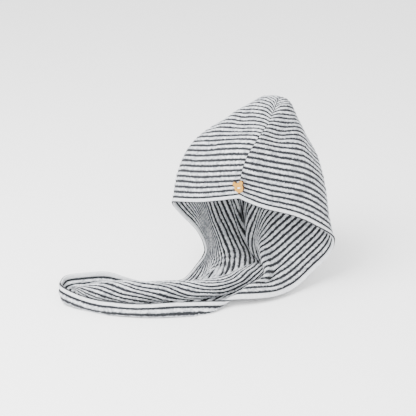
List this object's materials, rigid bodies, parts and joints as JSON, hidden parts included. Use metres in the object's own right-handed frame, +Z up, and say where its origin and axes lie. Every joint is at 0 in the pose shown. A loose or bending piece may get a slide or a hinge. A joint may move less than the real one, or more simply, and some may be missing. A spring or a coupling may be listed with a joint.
{
  "type": "hair turban towel",
  "caption": "Striped fleece hair towel with a pointed hood, a folded tail and a wooden button at the front, standing as laid down with its mouth open to the front.",
  "frame": {"origin": "on the floor under the root of the tail, in the flat seat of the cloth", "axes": "+X to the right seen from the front, +Y to the back of the hood, +Z up; the tail runs towards -X"},
  "size_m": [0.4198, 0.2255, 0.2881],
  "materials": {
    "fleece": "coral fleece, white with charcoal stripes",
    "hem_fleece": "white turned hem of the same fleece",
    "button_wood": "laser-cut plywood with a dark edge"
  },
  "bodies": {
    "root": {"left_panel": "fleece", "right_panel": "fleece", "hem_band": "hem_fleece", "button": "button_wood"}
  },
  "joints": []
}
